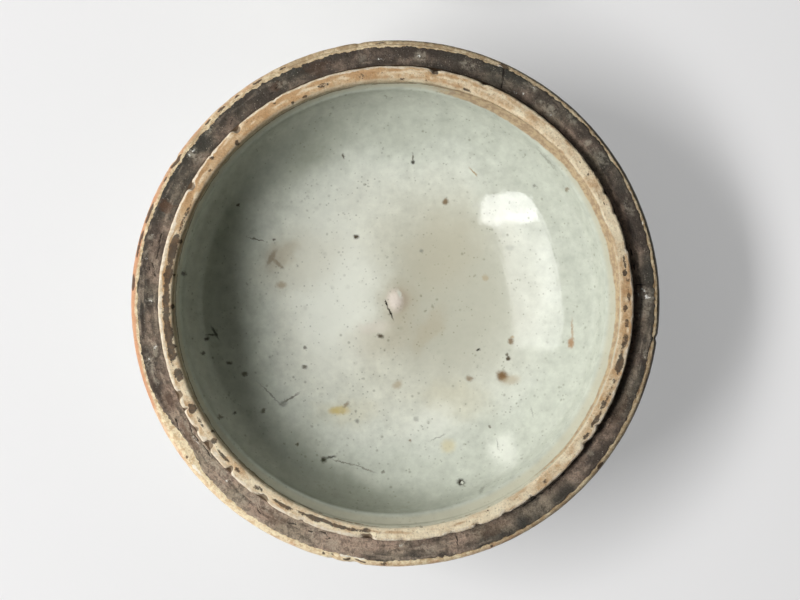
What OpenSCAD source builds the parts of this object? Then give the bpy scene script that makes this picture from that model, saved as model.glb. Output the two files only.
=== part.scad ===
// Round porcelain box for seal paste, in two halves: a base with a stepped rim and a lid that seats on it.
// Millimetres, +Z up. The origin is the centre of the base's foot, on the table.
// The box lies open: the lid rests upside down on its crown, behind the base.

/* [Whole box] */
// Outside diameter at the rim of both halves
outer_d = 95; // [85:1:110]
// Height of the base, from its foot to its ledge
base_h = 24.5; // [21:0.5:28]
// Height of the lid, from its rim to its crown
lid_h = 19; // [17:0.5:24]
// Table between the base and the lid that lies behind it
table_gap = 15; // [10:1:40]

/* [Stepped rim] */
// Width of the glazed rounding outside the bare ledge
lip_w = 1.1; // [0.6:0.1:1.6]
// Width of the bare ledge that carries the lid
ledge_w = 3.9; // [3:0.1:4.8]
// Width of the flange at its top, from its outside to the well's mouth
flange_w = 2.8; // [2.2:0.1:3.4]
// Height of the flange above the ledge
flange_h = 2.2; // [1.6:0.1:3.2]
// How far the flange's outside leans in towards its top
flange_lean = 0.2; // [0:0.05:0.4]
// Rounding of the flange's outer edge
outer_edge_r = 0.5; // [0.2:0.1:0.8]
// Rounding of the flange's inner edge, at the well's mouth
inner_edge_r = 0.8; // [0.4:0.1:1.2]

/* [Fit of the lid] */
// Play between the flange and the lid's mouth, on the radius
mouth_play = 0.6; // [0.4:0.1:1]
// Grit and wax between the ledge and the lid's rim when closed
seat_gap = 0.3; // [0.1:0.1:0.5]
// Free height over the flange inside the closed lid
top_play = 0.7; // [0.4:0.1:1.2]
// Width of the step at the top of the lid's mouth
step_w = 1.6; // [1:0.1:2.4]

/* [Well] */
// Height of the sloped strip below the well's mouth
strip_h = 1.8; // [1.2:0.1:3]
// How far that strip slopes in, down to its crease
strip_in = 1.4; // [0.6:0.1:2]
// Height of the well's floor at its centre, above the table
floor_z = 7; // [6:0.2:9]
// Rise of the hollow floor from its centre to where the wall begins
floor_rise = 7.8; // [5:0.1:8.6]
// How far the wall draws in from the crease to the floor
wall_in = 8; // [6:0.2:11]
// How far the steep part of that wall leans in
wall_lean = 0.9; // [0.4:0.1:2.5]
// Height of the steep part of the wall
wall_h = 5.2; // [3:0.1:6]
// Radius of the turning mark left at the floor's centre
mark_r = 1.5; // [0.8:0.1:3]
// Height of that mark
mark_h = 0.35; // [0.2:0.05:0.8]

/* [Foot] */
// Diameter over the foot ring
foot_d = 58; // [52:1:66]
// Width of the foot ring's flat bearing face
foot_w = 2.4; // [1.6:0.1:3.2]
// Height of the foot ring outside
foot_h = 2.4; // [1.6:0.2:3.2]
// Bevel on both edges of the foot ring
foot_bevel = 0.5; // [0.2:0.1:0.7]
// Height of the turned recess under the base, at its edge
recess_h = 2.8; // [2:0.2:3.6]
// How far the side of that recess leans in
recess_lean = 1.2; // [0.4:0.2:2]
// Rise of the recess from its edge to its centre
recess_rise = 0.4; // [0:0.1:0.8]

/* [Lid] */
// Diameter of the flat crown that the lid lies on
crown_d = 56; // [46:1:62]
// Height of the lid's upright side above its rounded lip
side_h = 4.5; // [3:0.5:6]
// Wall thickness at the middle of the crown
crown_t = 4.6; // [4:0.2:6]
// Fall of the lid's hollow inside, from its centre to the crown's edge
dome_fall = 1.6; // [0.6:0.1:2.4]

/* [Hidden] */
$fn = 128;
porcelain = [0.80, 0.82, 0.77];
arc_steps = 5;
curve_steps = 12;
outer_r = outer_d / 2;
ledge_r = outer_r - lip_w;
flange_r = ledge_r - ledge_w;
flange_top = base_h + flange_h;
flange_top_r = flange_r - flange_lean;
mouth_r = flange_top_r - flange_w;
crease_r = mouth_r - strip_in;
crease_z = flange_top - inner_edge_r - strip_h;
floor_r = crease_r - wall_in;
floor_slope = 2 * floor_rise / floor_r;
wall_reach = 0.5;
foot_reach = 0.3;
side_share = 0.38;
hollow_share = 0.5;
foot_r = foot_d / 2;
foot_in_r = foot_r - foot_bevel - foot_w;
recess_r = foot_in_r - foot_bevel - recess_lean;
rebate_r = flange_r + mouth_play;
rebate_h = flange_h + top_play - seat_gap;
hollow_r = rebate_r - step_w;
crown_r = crown_d / 2;
ceiling_z = lid_h - crown_t;
dome_slope = 2 * dome_fall / crown_r;
shoulder_reach = 0.6;
lid_y = outer_d + table_gap;

// Points of a circle's arc from angle a to angle b, without the one at a
function arc(centre, r, a, b) = [
    for (i = [1:arc_steps])
        let (t = a + (b - a) * i / arc_steps)
        centre + r * [cos(t), sin(t)]
];

// Points of a cubic curve that leaves p towards q and comes into s from r, without p
function curve(p, q, r, s) = [
    for (i = [1:curve_steps])
        let (t = i / curve_steps, u = 1 - t)
        u * u * u * p + 3 * u * u * t * q + 3 * u * t * t * r + t * t * t * s
];

// Points of a hollow from radius a to radius b, without the one at a, that is z high at the axis
// and has risen by rise at full_r
function hollow(a, b, z, rise, full_r) = [
    for (i = [1:curve_steps])
        let (x = a + (b - a) * i / curve_steps)
        [x, z + rise * pow(x / full_r, 2)]
];

// The low knob of the turning mark, from its edge to the axis
function mark() = [
    for (i = [1:arc_steps])
        let (t = 90 * i / arc_steps)
        [mark_r * cos(t), floor_z + mark_h * sin(t)]
];

// Underside of the base from the axis to the foot ring's flat face
function base_underside() = [
    [0, recess_h + recess_rise],
    [recess_r, recess_h],
    [foot_in_r - foot_bevel, foot_bevel],
    [foot_in_r, 0],
    [foot_r - foot_bevel, 0],
    [foot_r, foot_bevel],
    [foot_r + foot_bevel, foot_h]
];

// Outside of the base from the foot ring up to the ledge
function base_outside() = concat(
    curve(
        [foot_r + foot_bevel, foot_h],
        [foot_r + (outer_r - foot_r) * foot_reach, foot_h + foot_bevel],
        [outer_r, base_h * side_share],
        [outer_r, base_h - lip_w]
    ),
    arc([ledge_r, base_h - lip_w], lip_w, 0, 90)
);

// The flange that stands up inside the ledge
function flange() = concat(
    [[flange_r, base_h], [flange_top_r, flange_top - outer_edge_r]],
    arc([flange_top_r - outer_edge_r, flange_top - outer_edge_r], outer_edge_r, 0, 90),
    [[mouth_r + inner_edge_r, flange_top]],
    arc([mouth_r + inner_edge_r, flange_top - inner_edge_r], inner_edge_r, 90, 180)
);

// The well from its crease down the wall and across the hollow floor to the axis
function well() = concat(
    [[crease_r, crease_z]],
    curve(
        [crease_r, crease_z],
        [crease_r - wall_lean, crease_z - wall_h],
        [floor_r + wall_in * wall_reach, floor_z + floor_rise + floor_slope * wall_in * wall_reach],
        [floor_r, floor_z + floor_rise]
    ),
    hollow(floor_r, mark_r, floor_z, floor_rise, floor_r),
    mark()
);

module base() {
    color(porcelain)
        rotate_extrude()
            polygon(concat(base_underside(), base_outside(), flange(), well()));
}

// Outside of the lid from its rim, at height 0, up to the middle of its crown
function lid_outside() = concat(
    [[ledge_r, 0]],
    arc([ledge_r, lip_w], lip_w, -90, 0),
    [[outer_r, lip_w + side_h]],
    curve(
        [outer_r, lip_w + side_h],
        [outer_r, lip_w + side_h + (lid_h - lip_w - side_h) * shoulder_reach],
        [crown_r + (outer_r - crown_r) * shoulder_reach, lid_h],
        [crown_r, lid_h]
    ),
    [[0, lid_h]]
);

// Inside of the lid from the middle of its ceiling down to the rebate that passes over the flange
function lid_inside() = concat(
    [[0, ceiling_z]],
    hollow(0, crown_r, ceiling_z, -dome_fall, crown_r),
    curve(
        [crown_r, ceiling_z - dome_fall],
        [
            crown_r + (hollow_r - crown_r) * shoulder_reach,
            ceiling_z - dome_fall - dome_slope * (hollow_r - crown_r) * shoulder_reach
        ],
        [hollow_r, rebate_h + (ceiling_z - rebate_h) * hollow_share],
        [hollow_r, rebate_h]
    ),
    [[rebate_r, rebate_h], [rebate_r, 0]]
);

module lid() {
    color(porcelain)
        translate([0, lid_y, lid_h])
            rotate([180, 0, 0])
                rotate_extrude()
                    polygon(concat(lid_outside(), lid_inside()));
}

base();
lid();
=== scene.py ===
"""Looks of the porcelain seal paste box: glazed halves, crusted rims, light, camera and floor."""
import math
from itertools import product
from types import SimpleNamespace

import bpy
import numpy as np
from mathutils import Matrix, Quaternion, Vector


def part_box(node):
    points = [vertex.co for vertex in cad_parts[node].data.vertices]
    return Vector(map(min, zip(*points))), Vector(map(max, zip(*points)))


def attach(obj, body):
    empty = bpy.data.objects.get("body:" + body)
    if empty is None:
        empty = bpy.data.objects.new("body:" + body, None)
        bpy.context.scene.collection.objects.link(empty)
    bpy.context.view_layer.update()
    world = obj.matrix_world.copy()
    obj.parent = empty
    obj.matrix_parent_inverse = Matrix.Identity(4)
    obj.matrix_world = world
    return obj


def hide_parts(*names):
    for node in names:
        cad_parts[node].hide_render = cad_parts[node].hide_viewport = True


MM = 0.001

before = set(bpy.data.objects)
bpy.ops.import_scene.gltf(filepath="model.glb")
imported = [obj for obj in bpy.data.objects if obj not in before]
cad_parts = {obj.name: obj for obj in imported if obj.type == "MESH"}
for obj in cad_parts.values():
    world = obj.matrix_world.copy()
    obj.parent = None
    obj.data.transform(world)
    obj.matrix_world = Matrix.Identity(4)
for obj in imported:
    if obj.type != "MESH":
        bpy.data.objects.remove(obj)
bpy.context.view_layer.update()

# Sizes in millimetres. The overall ones are read from the frame, the others repeat the part's own.
base_lo, base_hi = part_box("base")
lid_lo, lid_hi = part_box("lid")
OUTER_R = (base_hi.x - base_lo.x) / 2 / MM
FLANGE_TOP = base_hi.z / MM
LID_H = lid_hi.z / MM
LID_Y = (lid_lo.y + lid_hi.y) / 2 / MM
LIP_W = 1.1
LEDGE_W = 3.9
FLANGE_W = 2.8
FLANGE_H = 2.2
FLANGE_LEAN = 0.2
OUTER_EDGE_R = 0.5
INNER_EDGE_R = 0.8
MOUTH_PLAY = 0.6
SEAT_GAP = 0.3
TOP_PLAY = 0.7
STEP_W = 1.6
STRIP_H = 1.8
STRIP_IN = 1.4
FLOOR_Z = 7.0
FLOOR_RISE = 7.8
WALL_IN = 8.0
WALL_LEAN = 0.9
WALL_H = 5.2
WALL_REACH = 0.5
FOOT_R = 29.0
FOOT_W = 2.4
FOOT_H = 2.4
FOOT_BEVEL = 0.5
RECESS_H = 2.8
RECESS_LEAN = 1.2
RECESS_RISE = 0.4
SIDE_SHARE = 0.38
FOOT_REACH = 0.3
CROWN_R = 28.0
SIDE_H = 4.5
CROWN_T = 4.6
DOME_FALL = 1.6
SHOULDER_REACH = 0.6
HOLLOW_SHARE = 0.5

LEDGE_Z = FLANGE_TOP - FLANGE_H
LEDGE_R = OUTER_R - LIP_W
FLANGE_R = LEDGE_R - LEDGE_W
FLANGE_TOP_R = FLANGE_R - FLANGE_LEAN
MOUTH_R = FLANGE_TOP_R - FLANGE_W
CREASE_R = MOUTH_R - STRIP_IN
CREASE_Z = FLANGE_TOP - INNER_EDGE_R - STRIP_H
REBATE_R = FLANGE_R + MOUTH_PLAY
REBATE_H = FLANGE_H + TOP_PLAY - SEAT_GAP

# The photograph's frame and where the box lies in it. The scale is that of the ledge's plane.
PHOTO_W, PHOTO_H = 800, 600
BOX_PX = (395.4, 302.3)
PX_PER_MM = 5.59
CAMERA_H = 230.0


def photo_radius(pixels, z):
    """The radius in millimetres that shows as so many pixels from the middle, at height z."""
    return pixels / PX_PER_MM * (CAMERA_H + LEDGE_Z - z) / CAMERA_H


def bowl_height(r):
    """Height of the hollow floor at radius r."""
    return FLOOR_Z + FLOOR_RISE * (r / (CREASE_R - WALL_IN)) ** 2


def photo_point(px, py):
    """The place in millimetres on the hollow floor that shows at a pixel of the photograph."""
    x, y = px - BOX_PX[0], BOX_PX[1] - py
    pixels = math.hypot(x, y)
    r = photo_radius(pixels, FLOOR_Z)
    for _ in range(3):
        r = photo_radius(pixels, bowl_height(r))
    share = r / pixels if pixels else 0
    return x * share, y * share


# Noise and soft steps for shapes and painted masks
def lattice(cell, seed):
    """A steady pseudo-random number from 0 to 1 for each whole-numbered cell."""
    mixed = cell[..., 0] * 73856093 ^ cell[..., 1] * 19349663 ^ cell[..., 2] * 83492791 ^ seed * 2654435761
    mixed = (mixed ^ (mixed >> 13)) * 1274126177 & 0x7FFFFFFF
    return ((mixed ^ (mixed >> 16)) & 0xFFFFF) / float(0xFFFFF)


def noise(points, size, seed, octaves=1):
    """Smooth noise from -1 to 1 whose lumps are about size across."""
    total, weight, share = 0.0, 0.0, 1.0
    for octave in range(octaves):
        p = points / size * 2**octave + 17.3 * octave
        cell = np.floor(p).astype(np.int64)
        f = p - cell
        f = f * f * (3 - 2 * f)
        value = 0.0
        for corner in product((0, 1), repeat=3):
            near = np.abs(1 - np.array(corner) - f).prod(axis=-1)
            value = value + near * lattice(cell + corner, seed + octave)
        total = total + share * (2 * value - 1)
        weight += share
        share *= 0.5
    return total / weight


def smooth(value, low, high):
    """0 below low, 1 above high and a smooth rise between them."""
    t = np.clip((value - low) / (high - low), 0, 1)
    return t * t * (3 - 2 * t)


def within(value, start, end, soft):
    """1 between start and end, with soft borders."""
    return smooth(value, start - soft, start + soft) * smooth(-value, -end - soft, -end + soft)


def band(value, middle, half, top):
    """top at the middle, falling to 0 at half a width on either side and staying there."""
    return top * smooth(-np.abs(value - middle), -half, 0.0)


def polar(points):
    return np.hypot(points[:, 0], points[:, 1]), np.degrees(np.arctan2(points[:, 1], points[:, 0]))


def turn(az, centre):
    """How far an azimuth lies from a centre one, in degrees, from -180 to 180."""
    return (az - centre + 180) % 360 - 180


def around(az, knots):
    """A value that runs smoothly round the box through knots of azimuth and value."""
    return np.interp(az, [k[0] for k in knots], [k[1] for k in knots], period=360)


def spots(points, z, marks, fray=0.0):
    """Soft ovals on a ring at height z: azimuth, radius in pixels, half length, half width, strength."""
    r, az = polar(points)
    found = np.zeros(len(r))
    for centre, pixels, long, wide, strength in marks:
        middle = photo_radius(pixels, z)
        away = np.hypot(np.radians(turn(az, centre)) * middle / long, (r - middle) / wide) + fray
        found = np.maximum(found, strength * smooth(-away, -1.35, -0.65))
    return found


def cracks(points, z, lines, width):
    """1 on lines that run through points of azimuth and radius in pixels, on a ring at height z."""
    r, az = polar(points)
    found = np.zeros(len(r))
    for line in lines:
        for (a, pixels_a), (b, pixels_b) in zip(line, line[1:]):
            ra, rb = photo_radius(pixels_a, z), photo_radius(pixels_b, z)
            x = np.radians(turn(az, a)) * ra
            dx, dy = math.radians(b - a) * ra, rb - ra
            t = np.clip((x * dx + (r - ra) * dy) / (dx * dx + dy * dy), 0, 1)
            away = np.hypot(x - t * dx, r - ra - t * dy)
            found = np.maximum(found, smooth(-away, -width, -width * 0.3))
    return found


# Outlines that are spun round the axis
class Outline:
    """Points of a half section, with the length run so far and that length at named places."""

    def __init__(self, r, z):
        self.points = [np.array([r, z], float)]
        self.run = [0.0]
        self.at = SimpleNamespace()

    def add(self, r, z):
        point = np.array([r, z], float)
        self.run.append(self.run[-1] + float(np.linalg.norm(point - self.points[-1])))
        self.points.append(point)
        return self

    def trace(self, path, count):
        """Points along a path, which gives the place for each share of its length from 0 to 1."""
        for i in range(1, count + 1):
            self.add(*path(i / count))
        return self

    def line(self, r, z, step):
        start, end = self.points[-1], np.array([r, z], float)
        count = max(1, round(float(np.linalg.norm(end - start)) / step))
        return self.trace(lambda t: start + (end - start) * t, count)

    def hollow(self, r, rise, count):
        """A parabola from the axis out to radius r."""
        z = self.points[-1][1]
        return self.trace(lambda t: (r * t, z + rise * t * t), count)

    def arc(self, centre, radius, a, b, count):
        def path(t):
            angle = math.radians(a + (b - a) * t)
            return centre[0] + radius * math.cos(angle), centre[1] + radius * math.sin(angle)

        return self.trace(path, count)

    def curve(self, q, r, s, count):
        p, q, r, s = self.points[-1], np.array(q), np.array(r), np.array(s)

        def path(t):
            u = 1 - t
            return u**3 * p + 3 * u * u * t * q + 3 * u * t * t * r + t**3 * s

        return self.trace(path, count)

    def mark(self, name):
        setattr(self.at, name, self.run[-1])
        return self


# Steps between the points of an outline, in millimetres
FINE = 0.23
COARSE = 0.6


def base_outline():
    """From the middle of the well out over the rim, down the outside and in to the middle underneath."""
    floor_r = CREASE_R - WALL_IN
    slope = 2 * FLOOR_RISE / floor_r
    reach = WALL_IN * WALL_REACH
    o = Outline(0, FLOOR_Z)
    o.hollow(floor_r, FLOOR_RISE, 36).mark("floor")
    o.curve(
        (floor_r + reach, FLOOR_Z + FLOOR_RISE + slope * reach),
        (CREASE_R - WALL_LEAN, CREASE_Z - WALL_H),
        (CREASE_R, CREASE_Z),
        22,
    ).mark("crease")
    o.line(MOUTH_R, FLANGE_TOP - INNER_EDGE_R, FINE)
    o.arc((MOUTH_R + INNER_EDGE_R, FLANGE_TOP - INNER_EDGE_R), INNER_EDGE_R, 180, 90, 6).mark("mouth")
    o.line(FLANGE_TOP_R - OUTER_EDGE_R, FLANGE_TOP, FINE)
    o.arc((FLANGE_TOP_R - OUTER_EDGE_R, FLANGE_TOP - OUTER_EDGE_R), OUTER_EDGE_R, 90, 0, 5).mark("edge")
    o.line(FLANGE_R, LEDGE_Z, 0.4).mark("ledge")
    o.line(LEDGE_R, LEDGE_Z, 0.35).mark("lip")
    o.arc((LEDGE_R, LEDGE_Z - LIP_W), LIP_W, 90, 0, 8).mark("side")
    o.curve(
        (OUTER_R, LEDGE_Z * SIDE_SHARE),
        (FOOT_R + (OUTER_R - FOOT_R) * FOOT_REACH, FOOT_H + FOOT_BEVEL),
        (FOOT_R + FOOT_BEVEL, FOOT_H),
        26,
    ).mark("foot")
    foot_in = FOOT_R - FOOT_BEVEL - FOOT_W
    o.line(FOOT_R, FOOT_BEVEL, COARSE)
    o.line(FOOT_R - FOOT_BEVEL, 0, COARSE)
    o.line(foot_in, 0, COARSE)
    o.line(foot_in - FOOT_BEVEL, FOOT_BEVEL, COARSE).mark("recess")
    o.line(foot_in - FOOT_BEVEL - RECESS_LEAN, RECESS_H, COARSE).mark("under")
    o.line(0, RECESS_H + RECESS_RISE, 2.0)
    return o


def lid_outline():
    """The lid as it lies, from the middle of its hollow out over the rim and in under the crown."""
    hollow_r = REBATE_R - STEP_W
    step_z = LID_H - REBATE_H
    slope = 2 * DOME_FALL / CROWN_R
    reach = (hollow_r - CROWN_R) * SHOULDER_REACH
    o = Outline(0, CROWN_T)
    o.hollow(CROWN_R, DOME_FALL, 28).mark("floor")
    o.curve(
        (CROWN_R + reach, CROWN_T + DOME_FALL + slope * reach),
        (hollow_r, step_z - (step_z - CROWN_T) * HOLLOW_SHARE),
        (hollow_r, step_z),
        24,
    ).mark("crease")
    o.line(REBATE_R, step_z, FINE).mark("mouth")
    o.line(REBATE_R, LID_H, 0.4).mark("ledge")
    o.line(LEDGE_R, LID_H, FINE).mark("lip")
    o.arc((LEDGE_R, LID_H - LIP_W), LIP_W, 90, 0, 8).mark("side")
    shoulder_z = LID_H - LIP_W - SIDE_H
    o.line(OUTER_R, shoulder_z, 0.9)
    o.curve(
        (OUTER_R, shoulder_z * (1 - SHOULDER_REACH)),
        (CROWN_R + (OUTER_R - CROWN_R) * SHOULDER_REACH, 0),
        (CROWN_R, 0),
        24,
    ).mark("foot")
    o.line(0, 0, 2.0)
    return o


def fan(a, na, b, nb):
    """Faces between two rings of vertices. One has as many as the other, or a whole multiple of it."""
    if na == nb:
        return [(a + i, b + i, b + (i + 1) % nb, a + (i + 1) % na) for i in range(na)]
    faces = []
    widens = nb > na
    few, many, k = (a, b, nb // na) if widens else (b, a, na // nb)
    n = min(na, nb)
    for i in range(n):
        near, far = few + i, few + (i + 1) % n
        row = [many + (i * k + j) % (n * k) for j in range(k + 1)]
        half = k // 2 if n > 1 else k
        strip = [(near, row[j], row[j + 1]) for j in range(half)]
        if n > 1:
            strip += [(near, row[half], far)]
            strip += [(far, row[j], row[j + 1]) for j in range(half, k)]
        faces += strip if widens else [face[::-1] for face in strip]
    return faces


def put(name, data):
    """A new object in the scene."""
    o = bpy.data.objects.new(name, data)
    bpy.context.scene.collection.objects.link(o)
    return o


def mesh_object(name, points, faces, own, masks, centre_y):
    """An object whose mesh also keeps its points before they were moved, and the painted masks."""
    mesh = bpy.data.meshes.new(name)
    mesh.from_pydata(((points + [0, centre_y, 0]) * MM).tolist(), [], faces)
    attribute = mesh.attributes.new("own", "FLOAT_VECTOR", "POINT")
    attribute.data.foreach_set("vector", own.astype(np.float32).ravel())
    for key, values in masks.items():
        attribute = mesh.attributes.new(key, "FLOAT", "POINT")
        attribute.data.foreach_set("value", values.astype(np.float32))
    mesh.polygons.foreach_set("use_smooth", [True] * len(mesh.polygons))
    mesh.update()
    return put(name, mesh)


# How many points a row of the finely divided rim has
RIM_POINTS = 960
# How many points a row has outside each radius in millimetres
BASE_ROWS = [(24, 480), (8, 240), (2.5, 120), (1e-6, 60)]
LID_ROWS = [(24, 480), (8, 240), (1e-6, 60)]


def row_points(at, rows, run, r):
    """How many points a point of the outline makes when it is spun: one on the axis, more further out."""
    if at.crease - 0.3 <= run <= at.side + 0.1:
        return RIM_POINTS
    return next((count for limit, count in rows if r > limit), 1)


def spin(name, outline, shape, paint, rows, centre_y=0.0):
    """A closed mesh of the outline spun round the axis. shape moves its points and paint makes its masks.
    rows says how many points a row has outside a radius, and the rim has RIM_POINTS."""
    starts, points, runs = [], [], []
    total = 0
    for (r, z), run in zip(outline.points, outline.run):
        n = row_points(outline.at, rows, run, r)
        az = np.arange(n) * 2 * math.pi / n
        starts.append((total, n))
        total += n
        points.append(np.c_[r * np.cos(az), r * np.sin(az), np.full(n, z)])
        runs.append(np.full(n, run))
    own, runs = np.concatenate(points), np.concatenate(runs)
    faces = []
    for (a, na), (b, nb) in zip(starts, starts[1:]):
        faces += fan(a, na, b, nb)
    masks = paint(own, runs)
    masks["run"] = runs
    return mesh_object(name, shape(own, runs), faces, own, masks, centre_y)


# Where the rim wanders: azimuth in degrees and radius in the photograph's pixels
OUTER_KNOTS = [
    (0, 264.4), (30, 263.3), (90, 262), (140, 262.6), (180, 264.5), (230, 264.9), (280, 263.8),
    (330, 264),
]
EDGE_KNOTS = [
    (0, 238.6), (20, 238), (45, 236.9), (75, 236.6), (150, 237), (190, 237.6), (240, 238.7), (340, 238.9),
]
MOUTH_KNOTS = [
    (0, 225), (30, 225.3), (70, 223.7), (110, 223.9), (160, 224.6), (190, 224.6), (240, 225.6),
    (340, 224.8),
]
CRUST_KNOTS = [
    (0, 259.0), (20, 258.2), (45, 257.6), (62, 257.0), (75, 255.8), (90, 254.4), (115, 254.2),
    (130, 255.4), (147, 255.4), (152, 257), (195, 257.9), (203, 257.6), (207, 253.5), (211, 250.6),
    (217, 250.6), (222, 256), (235, 257.4), (255, 257.6), (259, 256.6), (264, 258.8), (276, 257.2),
    (283, 259), (310, 259.2), (325, 258.2), (343, 258.2),
]

# Notches in the flange's outer edge: azimuth, half width in degrees, depth in millimetres
NOTCHES = [
    (13.3, 0.8, 0.2), (22.5, 0.8, 0.22), (27.6, 0.7, 0.3), (68, 0.8, 0.25), (80.2, 1.2, 0.45),
    (121, 0.6, 0.15), (132.6, 1.1, 0.6), (141.5, 0.5, 0.2), (150.4, 1.3, 0.55), (203, 1.3, 0.55),
    (206.9, 0.4, 0.5), (212.4, 1.0, 0.35), (217.4, 1.3, 0.85), (225.3, 0.8, 0.75), (235.6, 1.9, 0.6),
    (246.8, 0.6, 0.3), (263.2, 1.6, 0.6), (271.5, 0.9, 0.2), (283.5, 1.4, 0.2), (290.2, 0.9, 0.3),
    (297.5, 1.0, 0.2), (305, 0.6, 0.25), (323.6, 1.2, 0.3), (328.6, 0.8, 0.3),
]
# Chips out of the outer lip, in the same form
LIP_CHIPS = [(352, 0.9, 0.3), (261, 1.6, 0.35), (256, 0.8, 0.25), (98, 0.8, 0.2), (147, 1.0, 0.2)]


def bites(az, wobble, notches):
    """Depth of the notches at each azimuth, in millimetres."""
    depth = np.zeros(len(az))
    for centre, half, deep in notches:
        away = np.abs(turn(az, centre) / half + 0.5 * wobble)
        depth = np.maximum(depth, deep * (0.85 + 0.5 * wobble) * smooth(-away, -1.4, -0.2))
    return depth


def chipping(own):
    """The noise that makes notches and chips ragged."""
    return noise(own, 0.9, 5, 3)


UP = np.array([0.0, 0.0, 1.0])
# The crease and the strip above it are thrown a little off the centre
OFF_CENTRE = np.array([-0.3, 0.15, 0.0])


def outward(own):
    """The direction away from the axis at each point."""
    r = np.maximum(np.hypot(own[:, 0], own[:, 1]), 1e-6)
    return np.c_[own[:, 0] / r, own[:, 1] / r, np.zeros(len(r))]


def push(points, direction, amount):
    """Moves the points along a direction, each by its own amount."""
    points += direction * amount[:, None]


def bare_ledge(at, runs):
    return within(runs, at.ledge + 0.2, at.lip - 0.2, 0.2)


def rounded_lip(at, runs):
    return smooth(runs, at.lip - 0.3, at.lip + 0.2) * smooth(at.side + 1.5 - runs, 0.0, 1.5)


def base_shape(own, runs):
    """The unevenness of a thrown, glazed and worn base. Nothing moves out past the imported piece."""
    at = BASE.at
    r, az = polar(own)
    out = own.copy()
    unit = outward(own)
    small = noise(own, 2.2, 5, 2)
    grain = noise(own, 0.7, 9, 2)
    # Well: throwing lines on the wall and under the crease, strongest to the right, and a slow waviness
    well = smooth(at.crease - runs, -0.4, 0.6)
    right = 0.55 + 0.45 * np.cos(np.radians(az - 10))
    lines = np.sin(runs * 4.4 + noise(own, 9.0, 13)) * within(runs, at.floor + 6, at.crease - 0.6, 1.5)
    grooves = sum(np.exp(-(((runs - at.crease + low) / 0.16) ** 2)) for low in (0.9, 1.7, 3.1))
    push(out, unit, (0.012 * lines + 0.05 * grooves) * right * well)
    push(out, UP, 0.06 * well * noise(own, 15.0, 21) * smooth(r, 3, 10))
    push(out, OFF_CENTRE, within(runs, at.crease - 3.0, at.crease + 1.2, 1.2))
    # Flange: its rounded edges wander, and its outer one is notched and worn
    flange = smooth(runs, at.crease + 1.0, at.mouth) * smooth(at.ledge - runs, 0.2, 1.2)
    edge_in = FLANGE_TOP_R - photo_radius(around(az, EDGE_KNOTS), FLANGE_TOP - 0.3)
    edge = flange * smooth(runs, at.mouth + 0.3, at.edge - 0.5)
    bite = bites(az, chipping(own), NOTCHES)
    push(out, unit, -edge * (edge_in + 0.08 * small + 0.07 * grain + bite))
    push(out, UP, -0.5 * edge * bite)
    push(out, UP, -flange * (0.06 + 0.05 * small + 0.035 * grain))
    mouth_in = photo_radius(around(az, MOUTH_KNOTS), FLANGE_TOP - 0.3) - MOUTH_R - 0.45
    mouth = smooth(runs, at.crease + 0.8, at.crease + 2.4) * smooth(at.mouth + 0.8 - runs, 0, 1.0)
    push(out, unit, mouth * (mouth_in + 0.03 * small))
    push(out, UP, -bare_ledge(at, runs) * (0.06 + 0.03 * small))
    # Lip and side: the glaze edge draws in here and there, and is chipped
    lip_in = OUTER_R - photo_radius(around(az, OUTER_KNOTS), LEDGE_Z - LIP_W)
    chips = bites(az, chipping(own), LIP_CHIPS)
    sink = rounded_lip(at, runs) * (np.maximum(lip_in, 0.02) + 0.04 * small + 0.03 * grain + chips)
    push(out, unit + UP * 0.35, -np.maximum(sink, 0))
    side = smooth(runs, at.side, at.side + 3) * smooth(at.foot - runs, 0.0, 2.0)
    push(out, unit, -side * (np.maximum(lip_in, 0) * 0.6 + 0.06 + 0.05 * noise(own, 14.0, 41)))
    # Turning mark: a low, lopsided knob of clay and glaze
    away = np.hypot((own[:, 0] + 0.05) / 1.25, (own[:, 1] - 0.2) / 1.75)
    knob = np.clip(1 - away**2, 0, None) ** 0.6 * smooth(5.0 - runs, 0, 0.5)
    push(out, UP, 0.34 * knob * (1 + 0.6 * noise(own, 0.8, 51, 2)))
    return out


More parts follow.
